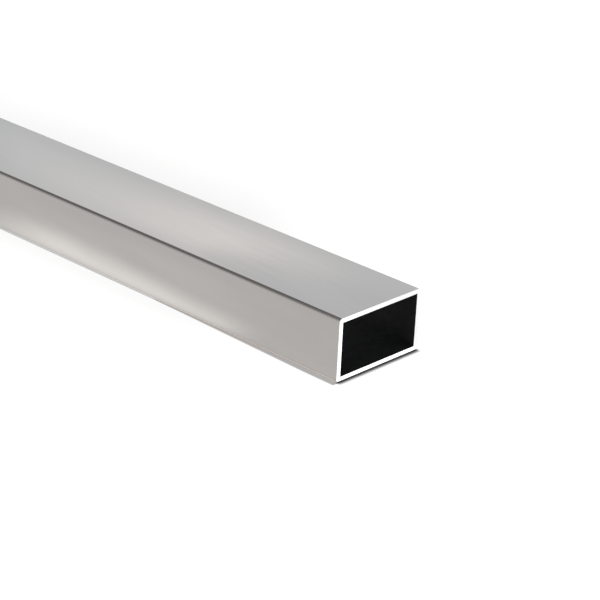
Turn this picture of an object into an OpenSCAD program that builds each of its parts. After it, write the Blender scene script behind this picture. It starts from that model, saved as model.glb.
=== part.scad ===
// Rectangular metal tube, one straight piece of stock
// A box section drawn to tight corners, sawn square and deburred at both ends.
// It lies along X on a wide side. The origin is on the ground, under the middle of the piece.

/* [Section] */
// Outside width, across the wide sides
width = 70; // [30:1:120]
// Outside height, across the narrow sides
height = 40; // [20:1:80]
// Thickness of the wall on all four sides
wall = 3; // [1:0.1:4]
// Radius of the four long edges
outer_corner_r = 2; // [0.8:0.1:3]
// Radius in the four corners of the hollow
inner_corner_r = 0.7; // [0.3:0.1:3]

/* [Length] */
// Length between the two sawn ends
length = 1000; // [100:10:6000]

/* [Sawn ends] */
// Chamfer that deburring leaves round the outside of each end
outer_deburr = 0.2; // [0.05:0.05:0.4]
// Chamfer that deburring leaves round the mouth of each end
inner_deburr = 0.15; // [0.05:0.05:0.4]

/* [Hidden] */
// Bright steel, as it looks under a soft white light
steel_colour = [0.72, 0.71, 0.70];
// Sides of a full circle in the corners
$fn = 96;
// How far the shape that cuts the hollow runs past each end
overrun = 1;
hollow_size = [width - 2 * wall, height - 2 * wall];

// One edge of a bar seen from the side, from its start to its end, reach away from the middle line.
// Each end steps out by end_step, or in if it is negative, along a 45 degree slope.
function edge(reach, bar_length, end_step) = [
    [reach + end_step, -bar_length / 2],
    [reach, -bar_length / 2 + abs(end_step)],
    [reach, bar_length / 2 - abs(end_step)],
    [reach + end_step, bar_length / 2]
];

function mirrored(points) = [for (i = [len(points) - 1:-1:0]) [-points[i].x, points[i].y]];

// A flat layer through the middle of a bar, between two of its opposite sides
module layer(across, thickness, bar_length, end_step) {
    near_edge = edge(across / 2, bar_length, end_step);
    rotate([90, 0, 0])
        linear_extrude(thickness, center = true)
            polygon(concat(near_edge, mirrored(near_edge)));
}

// The rounded quarter that fills a bar's corner between two layers
module corner(radius, bar_length, end_step) {
    rotate_extrude(angle = 90)
        polygon(concat([[0, -bar_length / 2]], edge(radius, bar_length, end_step), [[0, bar_length / 2]]));
}

// A straight bar of rounded section, standing along Z, whose ends are stepped all the way round
module rounded_bar(size, corner_r, bar_length, end_step) {
    corner_x = size.x / 2 - corner_r;
    corner_y = size.y / 2 - corner_r;
    layer(size.x, 2 * corner_y, bar_length, end_step);
    rotate(90)
        layer(size.y, 2 * corner_x, bar_length, end_step);
    for (quarter = [0:3])
        translate([(quarter == 0 || quarter == 3 ? 1 : -1) * corner_x, (quarter < 2 ? 1 : -1) * corner_y, 0])
            rotate(90 * quarter)
                corner(corner_r, bar_length, end_step);
}

module tube() {
    color(steel_colour)
        translate([0, 0, height / 2])
            rotate([90, 0, 90])
                difference() {
                    rounded_bar([width, height], outer_corner_r, length, -outer_deburr);
                    rounded_bar(hollow_size, inner_corner_r, length + 2 * overrun, inner_deburr + overrun);
                }
}

tube();
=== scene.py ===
import math

import bpy
from mathutils import Matrix, Vector


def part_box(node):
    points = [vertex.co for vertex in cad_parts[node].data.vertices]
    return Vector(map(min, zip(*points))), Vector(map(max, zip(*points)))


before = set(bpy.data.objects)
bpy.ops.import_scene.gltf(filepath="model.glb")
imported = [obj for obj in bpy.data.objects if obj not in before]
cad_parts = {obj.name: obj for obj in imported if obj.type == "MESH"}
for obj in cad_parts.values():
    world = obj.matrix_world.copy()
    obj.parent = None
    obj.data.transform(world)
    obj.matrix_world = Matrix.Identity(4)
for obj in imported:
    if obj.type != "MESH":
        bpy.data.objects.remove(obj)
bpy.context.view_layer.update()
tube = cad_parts["tube"]
low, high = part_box("tube")
mm = 0.001
nodeStep = (200, 160)  # spacing of the nodes in the editor
print("tube loaded, size in metres", [round(b - a, 4) for a, b in zip(low, high)])


def clearTree(owner):
    owner.use_nodes = True
    owner.node_tree.nodes.clear()
    return owner.node_tree


def put(tree, kind, at, inputs=None, **settings):
    # adds a node; inputs holds a value or another node's socket for each input by name or number
    node = tree.nodes.new(kind)
    node.location = (at[0] * nodeStep[0], at[1] * nodeStep[1])
    for name, value in settings.items():
        setattr(node, name, value)
    for key, value in (inputs or {}).items():
        if isinstance(value, bpy.types.NodeSocket):
            tree.links.new(value, node.inputs[key])
        else:
            node.inputs[key].default_value = value
    return node


def maths(tree, operation, at, *values, clamp=False):
    node = put(tree, "ShaderNodeMath", at, dict(enumerate(values)), operation=operation, use_clamp=clamp)
    return node.outputs[0]


def times(tree, at, *values):
    # all the values multiplied together
    product = values[0]
    for i, value in enumerate(values[1:]):
        product = maths(tree, "MULTIPLY", (at[0] + i, at[1]), product, value)
    return product


def ramp(tree, at, value, fromLow, fromHigh, toLow=0.0, toHigh=1.0):
    # smooth step from toLow to toHigh while value goes from fromLow to fromHigh
    inputs = {"Value": value, "From Min": fromLow, "From Max": fromHigh, "To Min": toLow, "To Max": toHigh}
    return put(tree, "ShaderNodeMapRange", at, inputs, interpolation_type="SMOOTHSTEP").outputs[0]


def mix(tree, at, factor, a, b):
    return put(tree, "ShaderNodeMix", at, {0: factor, 2: a, 3: b}).outputs[0]


def mixColour(tree, at, factor, a, b):
    return put(tree, "ShaderNodeMix", at, {0: factor, 6: a, 7: b}, data_type="RGBA").outputs[2]


def newGroup(name, inputs, outputs):
    group = bpy.data.node_groups.new(name, "ShaderNodeTree")
    for socketName, kind, value in inputs:
        socket = group.interface.new_socket(socketName, in_out="INPUT", socket_type="NodeSocket" + kind)
        if value is not None:
            socket.default_value = value
    for socketName, kind in outputs:
        group.interface.new_socket(socketName, in_out="OUTPUT", socket_type="NodeSocket" + kind)
    return group, group.nodes.new("NodeGroupInput"), group.nodes.new("NodeGroupOutput")


def grey(level):
    return (level, level, level, 1)


def brighter(colour, factor):
    return tuple(c * factor for c in colour[:3]) + (1,)


def sectionMasksGroup():
    # Sawn: the cut ends with their outer deburred edge. Inside: the walls of the hollow, with the deburred
    # edge of its mouth. Edge: the four drawn corners, fading out over the flats beside them.
    # Depth: metres from the nearer end.
    group, given, out = newGroup(
        "sectionMasks",
        [("Vector", "Vector", None), ("Half length", "Float", 500 * mm), ("Half width", "Float", 35 * mm),
         ("Half height", "Float", 20 * mm), ("Wall", "Float", 3 * mm), ("Edge from", "Float", 2 * mm),
         ("Edge to", "Float", 0.0), ("Deburr", "Float", 0.2 * mm), ("Lip", "Float", 0.2 * mm)],
        [("Sawn", "Float"), ("Inside", "Float"), ("Edge", "Float"), ("Depth", "Float")],
    )
    given = given.outputs
    xyz = put(group, "ShaderNodeSeparateXYZ", (1, 0), {0: given["Vector"]}).outputs
    x = maths(group, "ABSOLUTE", (2, 2), xyz[0])
    y = maths(group, "ABSOLUTE", (2, 1), xyz[1])
    z = maths(group, "ABSOLUTE", (2, 0), maths(group, "SUBTRACT", (1.5, -1), xyz[2], given["Half height"]))
    fromEnd = maths(group, "SUBTRACT", (3, 2), given["Half length"], x)
    atEnd = maths(group, "LESS_THAN", (4, 2), fromEnd, given["Deburr"])

    # how deep under the two nearest outer faces
    underWide = maths(group, "SUBTRACT", (3, 1), given["Half width"], y)
    underHigh = maths(group, "SUBTRACT", (3, 0), given["Half height"], z)
    under = maths(group, "MINIMUM", (4, 0.5), underWide, underHigh)
    midWall = maths(group, "MULTIPLY", (4, -1), given["Wall"], 0.5)
    inside = maths(group, "GREATER_THAN", (5, 0.5), under, midWall)
    mouth = maths(group, "SUBTRACT", (4, -2), given["Wall"], given["Lip"])
    onRim = maths(group, "LESS_THAN", (5, -1), under, mouth)
    sawn = maths(group, "MULTIPLY", (6, 2.5), atEnd, onRim)
    fromCorner = maths(group, "MAXIMUM", (4, 1.2), underWide, underHigh)
    edge = ramp(group, (6, 1.5), fromCorner, given["Edge from"], given["Edge to"])
    for name, value in (("Sawn", sawn), ("Inside", inside), ("Edge", edge), ("Depth", fromEnd)):
        group.links.new(value, out.inputs[name])
    return group


def drawnLinesGroup():
    # Lines along X, straight or slanting a little: noise squeezed across the tube and stretched along it
    group, given, out = newGroup(
        "drawnLines",
        [("Vector", "Vector", None), ("Width", "Float", 0.5 * mm), ("Length", "Float", 200 * mm),
         ("Slant", "Float", 0.0), ("Detail", "Float", 3.0), ("From", "Float", 0.3), ("To", "Float", 0.7)],
        [("Lines", "Float")],
    )
    given = given.outputs
    xyz = put(group, "ShaderNodeSeparateXYZ", (1, 0), {0: given["Vector"]}).outputs
    slip = maths(group, "MULTIPLY", (2, -2), xyz[0], given["Slant"])
    along = maths(group, "DIVIDE", (4, 1), xyz[0], given["Length"])
    place = put(group, "ShaderNodeCombineXYZ", (5, 0), {0: along})
    for i in (1, 2):
        slipped = maths(group, "ADD", (3, -i), xyz[i], slip)
        group.links.new(maths(group, "DIVIDE", (4, -i), slipped, given["Width"]), place.inputs[i])
    noise = put(group, "ShaderNodeTexNoise", (6, 0), {
        "Vector": place.outputs[0], "Scale": 1.0, "Detail": given["Detail"]}).outputs[0]
    group.links.new(ramp(group, (7, 0), noise, given["From"], given["To"]), out.inputs["Lines"])
    return group


def sawTracksGroup():
    # The fine parallel tracks that a saw blade leaves across the end: noise squeezed across them
    group, given, out = newGroup(
        "sawTracks",
        [("Vector", "Vector", None), ("Pitch", "Float", 0.4 * mm), ("Length", "Float", 11 * mm),
         ("Tilt", "Float", 0.2), ("Detail", "Float", 2.0), ("From", "Float", 0.3), ("To", "Float", 0.7)],
        [("Tracks", "Float")],
    )
    given = given.outputs
    xyz = put(group, "ShaderNodeSeparateXYZ", (1, 0), {0: given["Vector"]}).outputs
    across = maths(group, "ADD", (2, 0), xyz[2], maths(group, "MULTIPLY", (2, -1), xyz[1], given["Tilt"]))
    line = maths(group, "DIVIDE", (3, 0), across, given["Pitch"])
    along = maths(group, "DIVIDE", (3, -1), xyz[1], given["Length"])
    place = put(group, "ShaderNodeCombineXYZ", (4, 0), {0: line, 1: along}).outputs[0]
    noise = put(group, "ShaderNodeTexNoise", (5, 0), {
        "Vector": place, "Scale": 1.0, "Detail": given["Detail"]}).outputs[0]
    group.links.new(ramp(group, (6, 0), noise, given["From"], given["To"]), out.inputs["Tracks"])
    return group


steelLook = {
    "bright": (0.428, 0.408, 0.3925, 1),  # polished flats
    "cloudy": 1.035,  # how much brighter they are in soft clouds
    "worn": (0.2, 0.2, 0.2, 1), "wornShare": 0.03,  # how far the polishing lines go to this grey
    "edge": 0.33,  # how far the corners are painted towards the dark colour below: a painted dark reflection along the bends
    "paintedEdgeReflection": (0.058, 0.050, 0.044, 1),
    "cut": (0.97, 0.97, 0.965, 1),  # fresh metal of the sawn ends
    "track": (0.6, 0.6, 0.6, 1), "trackShare": 0.10,  # how far its saw tracks go to this grey
    "paintedContactShade": (0.05, 0.05, 0.05, 1),  # painted contact shade along their lower edge, where they meet the floor
    "contactShadeHeight": (0.55 * mm, 0.30 * mm),  # from none to full
    "mouth": (0.048, 0.048, 0.048, 1),  # painted shade inside, near the ends
    "paintedDeepLight": (0.34, 0.34, 0.34, 1),  # painted light further in, against the shade that deepens inwards
    "mouthDepth": (2 * mm, 60 * mm),
    "grainShare": 0.5,  # how far the grain inside goes to black
    "wall": 3 * mm,
    "edgeFrom": 2.3 * mm, "edgeTo": 0.6 * mm,  # the corners' radius is 2 mm
    "deburr": 0.22 * mm,
    "lip": 0.17 * mm,  # the mouth's deburred edge, painted as dark as the hollow's painted shade
    # roughness of the flats, and what clouds, polishing lines and scratches add to it
    "gloss": 0.035, "cloudGloss": 0.02, "polishGloss": 0.02, "scratchGloss": 0.06,
    "edgeGloss": 0.26, "insideGloss": 0.9, "cutGloss": 0.42, "trackGloss": 0.12,
    "polish": {"Width": 0.35 * mm, "Length": 120 * mm, "Detail": 4.0},
    "clouds": {"Width": 14 * mm, "Length": 90 * mm, "Slant": 0.12, "Detail": 2.0},
    "scratches": {"Width": 0.22 * mm, "Length": 14 * mm, "Slant": 0.25, "Detail": 1.0, "From": 0.7, "To": 0.8},
    "grain": {"Scale": 260.0, "Detail": 4.0},
    # relief
    "scratchHeight": -0.001 * mm, "polishHeight": 0.0002 * mm, "grainHeight": 0.05 * mm,
    "trackHeight": 0.02 * mm,
}


def steelMaterial(look):
    material = bpy.data.materials.new("brightSteel")
    tree = clearTree(material)
    place = put(tree, "ShaderNodeTexCoord", (-8, 0)).outputs["Object"]
    half = [(b - a) / 2 for a, b in zip(low, high)]
    masks = put(tree, "ShaderNodeGroup", (-6, 3), {
        "Vector": place, "Half length": half[0], "Half width": half[1], "Half height": half[2],
        "Wall": look["wall"], "Edge from": look["edgeFrom"], "Edge to": look["edgeTo"],
        "Deburr": look["deburr"], "Lip": look["lip"]}, node_tree=sectionMasksGroup()).outputs
    drawn = drawnLinesGroup()
    polish, clouds, scratches = (
        put(tree, "ShaderNodeGroup", (-6, at), {"Vector": place, **look[name]}, node_tree=drawn).outputs[0]
        for name, at in (("polish", 1), ("clouds", -1), ("scratches", -3)))
    saw = put(tree, "ShaderNodeGroup", (-6, -5), {"Vector": place}, node_tree=sawTracksGroup()).outputs[0]
    grain = put(tree, "ShaderNodeTexNoise", (-6, -7), {"Vector": place, **look["grain"]}).outputs[0]

    # colour
    flats = mixColour(tree, (-4, 3), clouds, look["bright"], brighter(look["bright"], look["cloudy"]))
    worn = maths(tree, "MULTIPLY", (-4, 2), polish, look["wornShare"])
    flats = mixColour(tree, (-3, 3), worn, flats, look["worn"])
    # the corners painted darker: a painted dark reflection along the bends
    edgeReflectionShare = maths(tree, "MULTIPLY", (-3, 2), masks["Edge"], look["edge"])
    outer = mixColour(tree, (-2, 3), edgeReflectionShare, flats, look["paintedEdgeReflection"])
    # the hollow: painted shade near the ends, painted light further in
    depth = ramp(tree, (-4, 5), masks["Depth"], *look["mouthDepth"])
    hollowShade = mixColour(tree, (-3, 5), depth, look["mouth"], look["paintedDeepLight"])
    grimy = maths(tree, "MULTIPLY", (-3, 6), grain, look["grainShare"])
    hollowShade = mixColour(tree, (-2, 5), grimy, hollowShade, grey(0.0))
    walls = mixColour(tree, (-1, 3), masks["Inside"], outer, hollowShade)
    tracks = maths(tree, "MULTIPLY", (-3, 0), saw, look["trackShare"])
    cut = mixColour(tree, (-2, 1), tracks, look["cut"], look["track"])
    # the sawn ends' lowest fraction of a millimetre is painted dark: painted contact shade at the floor
    level = put(tree, "ShaderNodeSeparateXYZ", (-4, 1), {0: place}).outputs[2]
    cut = mixColour(tree, (-1, 1), ramp(tree, (-3, 1), level, *look["contactShadeHeight"]), cut, look["paintedContactShade"])
    colour = mixColour(tree, (0, 3), masks["Sawn"], walls, cut)

    # roughness
    gloss = maths(tree, "MULTIPLY_ADD", (-4, -3), clouds, look["cloudGloss"], look["gloss"])
    gloss = maths(tree, "MULTIPLY_ADD", (-3, -2), polish, look["polishGloss"], gloss)
    gloss = maths(tree, "MULTIPLY_ADD", (-2, -2), scratches, look["scratchGloss"], gloss)
    gloss = mix(tree, (-1, -2), masks["Edge"], gloss, look["edgeGloss"])
    gloss = mix(tree, (0, -2), masks["Inside"], gloss, look["insideGloss"])
    cutGloss = maths(tree, "MULTIPLY_ADD", (-1, -4), saw, look["trackGloss"], look["cutGloss"])
    gloss = mix(tree, (1, -2), masks["Sawn"], gloss, cutGloss)

    # relief, in metres
    relief = maths(tree, "MULTIPLY", (-4, -6), scratches, look["scratchHeight"])
    relief = maths(tree, "MULTIPLY_ADD", (-3, -6), polish, look["polishHeight"], relief)
    grainRelief = maths(tree, "MULTIPLY", (-3, -7), grain, look["grainHeight"])
    relief = mix(tree, (-1, -6), masks["Inside"], relief, grainRelief)
    trackRelief = maths(tree, "MULTIPLY", (-3, -8), saw, look["trackHeight"])
    relief = mix(tree, (0, -6), masks["Sawn"], relief, trackRelief)
    bump = put(tree, "ShaderNodeBump", (1, -6), {"Height": relief, "Strength": 1.0, "Distance": 1.0}).outputs[0]

    shader = put(tree, "ShaderNodeBsdfPrincipled", (2, 0), {
        "Base Color": colour, "Roughness": gloss, "Metallic": 1.0, "Normal": bump})
    put(tree, "ShaderNodeOutputMaterial", (4, 0), {0: shader.outputs[0]})
    return material


for slot in tube.material_slots:
    slot.material = steelMaterial(steelLook)
print("the tube has its metal")


# unless a note says otherwise, two values together are where an effect has faded out and where it is full
floorLook = {
    "half": 25.0, "gap": 0.1 * mm,  # half its side, and how far it lies below the tube
    "colour": (0.62, 0.617, 0.614, 1),
    "cameraGlow": 0.43,  # what brings the lit floor up to plain white
    "mirrorGlow": 0.36,  # the same where the metal mirrors the floor
    "endGlow": 0.18, "endReach": (0.0, 50 * mm),  # a little more beyond the ends
    "rimGlow": 0.42, "rimAlong": (35 * mm, 3 * mm), "rimAcross": (44 * mm, 34 * mm),  # and right under them
    # the dark strip under the ends: how wide it is, where it starts, how fast it fades and where it stops
    "contact": 4.2 * mm, "contactFrom": -0.5 * mm, "contactFade": 5.0, "stripSides": (36.8 * mm, 34.6 * mm),
    # a thin shadow along one side, from the first X to the second, and how wide it is there
    "foot": (345 * mm, 478 * mm, 3.7 * mm), "footSoft": 0.9 * mm,
    "footStop": (0.2 * mm, -1.6 * mm), "footSlant": 0.04,  # it stops at the end, at a slight slant
    "underFoot": (33.4 * mm, 36.2 * mm),
    "footDark": (0.17, 0.61),  # it adds little under the tube, which shades the floor anyway
    "footTint": (1.14, 0.98, 0.87, 1),  # it is as warm as the metal beside it
    "footGlow": 0.85,  # keeps that narrow shade out of the metal's lower bends
    # faint shade on the floor, at the far side and at the near side: how dark, and its reach across and along
    "softShade": (0.160, 0.112),
    "softEdge": (200 * mm, 66 * mm), "softCore": (55 * mm, 35 * mm),
    "softEnd": (455 * mm, 520 * mm), "softFull": (345 * mm, 380 * mm), "softRound": 0.7,
    "softMiddle": (-60 * mm, 90 * mm, 0.7, 1.0),  # only this much of it in the middle
    # lit patches of floor beside the tube that its narrow sides mirror, and a fainter, wider one round each
    "pool": 0.50, "poolSlant": 0.062, "poolAcross": (85.2 * mm, 59.8 * mm),
    "poolInner": (137 * mm, 246 * mm), "poolOuter": (437 * mm, 389 * mm),
    "halo": 0.060, "haloAcross": (93.0 * mm, 77.3 * mm), "haloOuter": (418 * mm, 335 * mm),
    "besideTube": (35.0 * mm, 43.4 * mm, 0.453, 1.0),  # less of it right beside the tube
}


def endShadow(tree, look, x, y, beyond):
    # how dark the strip under the ends is: 1 - openness to the power contactFade, beyond the ends only
    # and between the stripSides
    near = put(tree, "ShaderNodeAmbientOcclusion", (-6, 2), {"Distance": look["contact"]}, samples=16)
    openness = maths(tree, "POWER", (-5, 2), near.outputs["AO"], look["contactFade"])
    closed = maths(tree, "SUBTRACT", (-4, 2), 1.0, openness)
    return times(tree, (-4, 1), beyond, ramp(tree, (-5, 3), y, *look["stripSides"]), closed)


def footShadow(tree, look, xyz, x, y):
    # a strip beside the tube whose reach grows evenly along X, dark where y is within the reach
    first, second, wide = look["foot"]
    reach = put(tree, "ShaderNodeMapRange", (-5, 6), {
        "Value": xyz[0], "From Min": first, "From Max": second, "To Max": wide}).outputs[0]
    past = maths(tree, "SUBTRACT", (-3, 6), maths(tree, "SUBTRACT", (-4, 6), y, high[1]), reach)
    dark = ramp(tree, (-3, 7), y, *look["underFoot"], *look["footDark"])
    shadow = ramp(tree, (-2, 6), past, look["footSoft"], -look["footSoft"], 0.0, dark)
    begun = maths(tree, "GREATER_THAN", (-4, 8), reach, 0.0)
    nearSide = maths(tree, "LESS_THAN", (-4, 9), xyz[1], 0.0)
    slanting = maths(tree, "MULTIPLY_ADD", (-2, 8), xyz[1], look["footSlant"], x)
    beforeEnd = ramp(tree, (-1, 7), slanting, *(high[0] + step for step in look["footStop"]))
    return times(tree, (-1, 6), shadow, begun, nearSide, beforeEnd)


def faintShade(tree, look, xyz, x, y):
    # fades away from the tube and towards its ends, with rounded ends
    toNear = maths(tree, "LESS_THAN", (-6, 11), xyz[1], 0.0)
    names = ("softShade", "softEdge", "softCore", "softEnd", "softFull")
    amount, edge, core, end, full = (
        mix(tree, (-5, 10 + i), toNear, *look[name]) for i, name in enumerate(names))
    rounded = maths(tree, "MULTIPLY_ADD", (-5, 9), y, look["softRound"], x)
    return times(tree, (-3, 11), ramp(tree, (-4, 11), y, edge, core, 0.0, amount),
                 ramp(tree, (-4, 12), rounded, end, full), ramp(tree, (-4, 13), x, *look["softMiddle"]))


def litPatches(tree, look, x, y):
    slanted = maths(tree, "MULTIPLY_ADD", (-6, -2), x, look["poolSlant"], y)
    pool = times(tree, (-4, -2), ramp(tree, (-5, -2), slanted, *look["poolAcross"], 0.0, look["pool"]),
                 ramp(tree, (-5, -3), x, *look["poolOuter"]), ramp(tree, (-4, -3), y, *look["besideTube"]))
    halo = times(tree, (-4, -4), ramp(tree, (-5, -4), y, *look["haloAcross"], 0.0, look["halo"]),
                 ramp(tree, (-5, -5), x, *look["haloOuter"]))
    both = maths(tree, "ADD", (-2, -2), pool, halo)
    return times(tree, (-1, -2), both, ramp(tree, (-3, -5), x, *look["poolInner"]))


def mirroredGlow(tree, look, x, y, beyond):
    # how bright the floor glows where the metal mirrors it, outside the lit patches
    past = maths(tree, "SUBTRACT", (-7, 1), x, high[0])
    glow = maths(tree, "ADD", (-4, 0), ramp(tree, (-5, -1), past, *look["endReach"], 0.0, look["endGlow"]),
                 look["mirrorGlow"])
    underRim = times(tree, (-5, 0), ramp(tree, (-6, 1), past, *look["rimAlong"], 0.0, look["rimGlow"]),
                     ramp(tree, (-6, 0), y, *look["rimAcross"]))
    glow = maths(tree, "MULTIPLY_ADD", (-3, 0), beyond, underRim, glow)
    inBend = ramp(tree, (-3, -1), y, *reversed(look["underFoot"]), 0.0, look["footGlow"])
    return maths(tree, "ADD", (-2, 0), glow, inBend)


def floorMaterial(look):
    # free is 1 where nothing darkens the floor
    material = bpy.data.materials.new("paleFloor")
    tree = clearTree(material)
    rays = put(tree, "ShaderNodeLightPath", (-6, 4)).outputs
    place = put(tree, "ShaderNodeTexCoord", (-9, 0)).outputs["Object"]
    xyz = put(tree, "ShaderNodeSeparateXYZ", (-8, 0), {0: place}).outputs
    x = maths(tree, "ABSOLUTE", (-7, 0), xyz[0])
    y = maths(tree, "ABSOLUTE", (-7, -1), xyz[1])
    beyond = maths(tree, "GREATER_THAN", (-5, 1), x, high[0] + look["contactFrom"])

    foot = footShadow(tree, look, xyz, x, y)
    shadows = (endShadow(tree, look, x, y, beyond), foot, faintShade(tree, look, xyz, x, y))
    free = (maths(tree, "SUBTRACT", (-2, i), 1.0, dark) for i, dark in enumerate(shadows))
    free = times(tree, (-1, 1), *free)

    seen = times(tree, (-2, 4), rays["Is Camera Ray"], free, look["cameraGlow"])
    mirrored = maths(tree, "ADD", (-4, 3), rays["Is Glossy Ray"], rays["Is Transmission Ray"], clamp=True)
    inMetal = maths(tree, "ADD", (0, 0), litPatches(tree, look, x, y), mirroredGlow(tree, look, x, y, beyond))
    inMetal = maths(tree, "MULTIPLY", (0, 3), mirrored, inMetal)
    glow = put(tree, "ShaderNodeEmission", (2, 3), {
        "Color": mixColour(tree, (1, 5), foot, grey(1.0), look["footTint"]),
        "Strength": maths(tree, "ADD", (1, 3), seen, inMetal)})
    shaded = mix(tree, (0, 1), rays["Is Camera Ray"], 1.0, free)
    lit = put(tree, "ShaderNodeBsdfDiffuse", (2, 1), {
        "Color": mixColour(tree, (1, 1), shaded, grey(0.0), look["colour"])})
    both = put(tree, "ShaderNodeAddShader", (3, 2), {0: glow.outputs[0], 1: lit.outputs[0]})
    put(tree, "ShaderNodeOutputMaterial", (4, 2), {0: both.outputs[0]})
    return material


def floorPiece(look):
    # a flat square just below the tube
    h, z = look["half"], -look["gap"]
    mesh = bpy.data.meshes.new("floor")
    mesh.from_pydata([(-h, -h, z), (h, -h, z), (h, h, z), (-h, h, z)], [], [(0, 1, 2, 3)])
    mesh.materials.append(floorMaterial(look))
    piece = bpy.data.objects.new("floor", mesh)
    bpy.context.scene.collection.objects.link(piece)


floorPiece(floorLook)
print("floor is down")


# headings and heights are in degrees, and all four quarters of the room are alike
roomLook = {
    "fill": 0.17,  # what the room adds to the light on the floor
    "tint": (0.961, 1.0, 1.033, 1),  # the room is a little cooler than the floor
    "low": 1.027, "high": 0.971, "highEdges": (0.417, 0.700),  # how bright it is under and over the gleam
    "ground": 0.130, "groundEdges": (-0.37, -0.86),  # how much darker it gets further down
    "wane": 0.032, "waneEdges": (39.0, 38.5),  # and further round towards the tube's axis
    # a dark, warm card bent round each end, mirrored in the long edges
    "flagLevel": 0.27, "flagTint": (1.05, 1.0, 0.97, 1),
    "flagLow": (25.2, 29.5), "flagSide": (52.0, 46.0), "flagStart": (0.50, 0.56), "flagStop": (0.84, 0.79),
    # a long soft lamp near the floor, seen in the top: its middle line, and how it fades on each side of it
    "gleam": 0.620, "gleamTint": (1.0, 0.846, 0.732, 1),
    "gleamHeight": 21.75, "gleamSide": 44.0, "gleamSlope": 0.262, "gleamCurve": -0.018,
    "gleamTaper": 0.35,  # it narrows to one end
    "gleamUnder": (-0.70, 0.28), "gleamOver": (1.13, 0.44),
    "gleamStart": (36.7, 48.6), "gleamStop": (50.0, 44.2),
}


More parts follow.
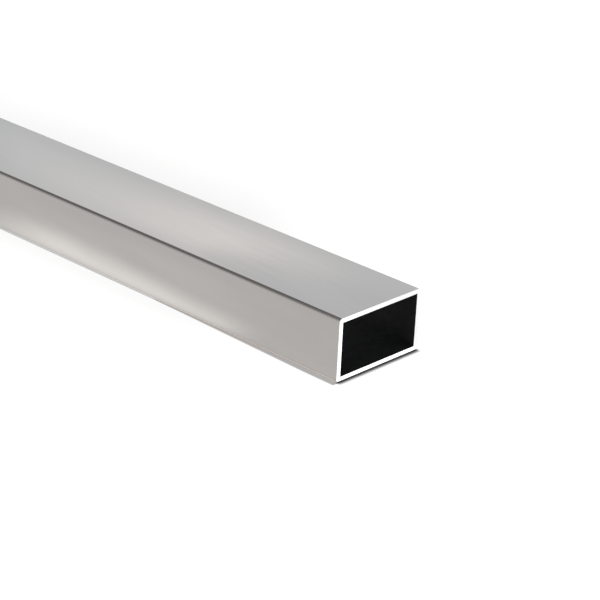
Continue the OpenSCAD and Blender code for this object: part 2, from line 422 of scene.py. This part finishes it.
def roomLight(look):
    world = bpy.data.worlds.new("studioRoom")
    bpy.context.scene.world = world
    tree = clearTree(world)
    direction = put(tree, "ShaderNodeTexCoord", (-10, 0)).outputs["Generated"]
    xyz = put(tree, "ShaderNodeSeparateXYZ", (-9, 0), {0: direction}).outputs
    height = maths(tree, "MULTIPLY", (-7, 0), maths(tree, "ARCSINE", (-8, 0), xyz[2]), math.degrees(1))
    along = maths(tree, "ABSOLUTE", (-8, -3), xyz[0])
    heading = maths(tree, "ARCTAN2", (-7, -2), maths(tree, "ABSOLUTE", (-8, -2), xyz[1]), along)
    side = maths(tree, "MULTIPLY", (-6, -2), heading, math.degrees(1))

    # over: how far a direction is above the gleam's middle line, which bends down on one side of gleamSide
    aside = maths(tree, "SUBTRACT", (-5, 5), side, look["gleamSide"])
    bend = maths(tree, "MINIMUM", (-5, 6), aside, 0.0)
    slope = maths(tree, "MULTIPLY_ADD", (-4, 5), bend, look["gleamCurve"], look["gleamSlope"])
    line = maths(tree, "MULTIPLY_ADD", (-3, 5), aside, slope, look["gleamHeight"])
    over = maths(tree, "SUBTRACT", (-2, 5), height, line)

    # across: the same, in steps that get smaller as the gleam narrows
    onward = maths(tree, "MAXIMUM", (-5, 7), aside, 0.0)
    taper = maths(tree, "MULTIPLY_ADD", (-4, 7), onward, look["gleamTaper"], 1.0)
    across = maths(tree, "MULTIPLY", (-3, 7), over, taper)
    gleam = times(tree, (0, 6), ramp(tree, (-1, 6), across, *look["gleamUnder"], 0.0, look["gleam"]),
                  ramp(tree, (-1, 7), across, *look["gleamOver"]),
                  ramp(tree, (0, 7), side, *look["gleamStart"]), ramp(tree, (1, 7), side, *look["gleamStop"]))

    level = ramp(tree, (-1, 3), across, *look["highEdges"], look["low"], look["high"])
    darker = ramp(tree, (-1, 2), over, *look["groundEdges"], 0.0, look["ground"])
    level = maths(tree, "SUBTRACT", (0, 3), level, darker)
    darker = ramp(tree, (0, 2), side, *look["waneEdges"], 0.0, look["wane"])
    level = maths(tree, "SUBTRACT", (1, 3), level, darker)
    flag = times(tree, (-4, 0), ramp(tree, (-5, 0), height, *look["flagLow"]),
                 ramp(tree, (-5, -1), side, *look["flagSide"]),
                 ramp(tree, (-4, -1), along, *look["flagStart"]),
                 ramp(tree, (-3, -1), along, *look["flagStop"]))
    level = mix(tree, (2, 2), flag, level, look["flagLevel"])

    rays = put(tree, "ShaderNodeLightPath", (1, 0)).outputs
    mirrored = maths(tree, "ADD", (2, 0), rays["Is Glossy Ray"], rays["Is Transmission Ray"], clamp=True)
    room = put(tree, "ShaderNodeBackground", (4, 2), {
        "Color": mixColour(tree, (3, 3), flag, look["tint"], look["flagTint"]),
        "Strength": mix(tree, (3, 2), mirrored, look["fill"], level)}).outputs[0]
    lamp = put(tree, "ShaderNodeBackground", (4, 4), {
        "Color": look["gleamTint"], "Strength": maths(tree, "MULTIPLY", (3, 4), mirrored, gleam)}).outputs[0]
    both = put(tree, "ShaderNodeAddShader", (5, 3), {0: room, 1: lamp}).outputs[0]
    white = put(tree, "ShaderNodeBackground", (4, 0), {"Color": grey(1.0), "Strength": 1.0}).outputs[0]
    shown = put(tree, "ShaderNodeMixShader", (6, 2), {0: rays["Is Camera Ray"], 1: both, 2: white}).outputs[0]
    put(tree, "ShaderNodeOutputWorld", (7, 2), {0: shown})


roomLight(roomLook)


lampLook = {
    "strength": 2.6,
    "size": 3.0,  # in degrees
    "from": (-0.050, 0.0, 1.0),
    "hangs": (0.0, 0.0, 2.0),
}


def overheadLamp(look):
    lamp = bpy.data.lights.new("overheadLamp", "SUN")
    lamp.energy = look["strength"]
    lamp.angle = math.radians(look["size"])
    piece = bpy.data.objects.new("overheadLamp", lamp)
    piece.rotation_euler = Vector(look["from"]).to_track_quat("Z", "Y").to_euler()
    piece.location = look["hangs"]
    piece.visible_glossy = False
    bpy.context.scene.collection.objects.link(piece)


overheadLamp(lampLook)
print("room and lamp are set")


cameraLook = {
    "stands": (1.23695, -0.86252, 0.53896),
    "aims": (0.43515, 0.00061, 0.02),
    "lens": 128.379, "sensor": 36.0,  # in millimetres
    "roll": 2.843,  # in degrees
    "clip": (0.01, 100.0),
}


def setCamera(look):
    data = bpy.data.cameras.new("camera")
    data.lens = look["lens"]
    data.sensor_width = look["sensor"]
    data.clip_start, data.clip_end = look["clip"]
    piece = bpy.data.objects.new("camera", data)
    sight = Vector(look["aims"]) - Vector(look["stands"])
    roll = Matrix.Rotation(math.radians(look["roll"]), 4, "Z")
    turned = sight.to_track_quat("-Z", "Y").to_matrix().to_4x4() @ roll
    piece.matrix_world = Matrix.Translation(look["stands"]) @ turned
    bpy.context.scene.collection.objects.link(piece)
    bpy.context.scene.camera = piece


setCamera(cameraLook)
bpy.context.scene.view_settings.view_transform = "Standard"
print("camera is set")
